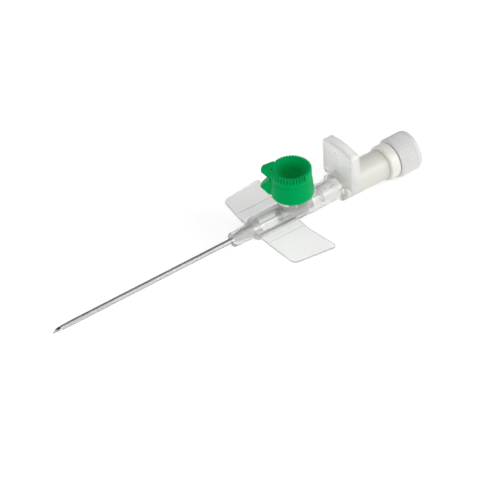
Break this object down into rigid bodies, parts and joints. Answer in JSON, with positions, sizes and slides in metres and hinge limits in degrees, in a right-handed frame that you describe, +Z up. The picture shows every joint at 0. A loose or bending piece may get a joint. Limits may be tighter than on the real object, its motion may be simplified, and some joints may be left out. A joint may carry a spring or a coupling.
{
  "type": "iv cannula",
  "caption": "Winged intravenous cannula with capped injection port; needle with grip plate, blood chamber and luer cap slides out of the hub.",
  "frame": {"origin": "centre of the catheter tube where its free length ends, 0.15 mm in front of the hub's nose", "axes": "+X along the cannula from the needle's point to the luer cap, +Z up along the injection port, Y across the wings"},
  "size_m": [0.1006, 0.0312, 0.0175],
  "materials": {
    "catheter": "clear, smooth",
    "steel": "ground and polished",
    "clear_hub": "clear moulded, slightly milky",
    "silicone": "matt",
    "green_cap": "satin",
    "clear_needle_hub": "clear moulded",
    "milky_plug": "milky",
    "filter": "porous",
    "white_cap": "satin moulded"
  },
  "bodies": {
    "cannula": {"catheter_tube": "catheter", "catheter_bush": "steel", "catheter_hub": "clear_hub", "port_valve": "silicone"},
    "cap_ring": {"port_cap_collar": "green_cap"},
    "cap_lid": {"port_cap_lid": "green_cap"},
    "needle_set": {"needle": "steel", "needle_hub": "clear_needle_hub", "vent_plug": "milky_plug", "vent_filter": "filter"},
    "rear_cap": {"luer_cap": "white_cap"}
  },
  "joints": [
    {"name": "cap_swivel", "type": "hinge", "parent": "cannula", "child": "cap_ring", "pos_m": [0.0179, 0, 0.0055], "axis": [0, 0, 1], "continuous": true},
    {"name": "lid_flip", "type": "hinge", "parent": "cap_ring", "child": "cap_lid", "pos_m": [0.01485, 0.0039, 0.00968], "axis": [-0.788, -0.6157, 0], "range_deg": [0, 80]},
    {"name": "needle_withdraw", "type": "slide", "parent": "cannula", "child": "needle_set", "axis": [1, 0, 0], "range_m": [0, 0.08]},
    {"name": "rear_cap_off", "type": "slide", "parent": "needle_set", "child": "rear_cap", "axis": [1, 0, 0], "range_m": [0, 0.012]}
  ]
}
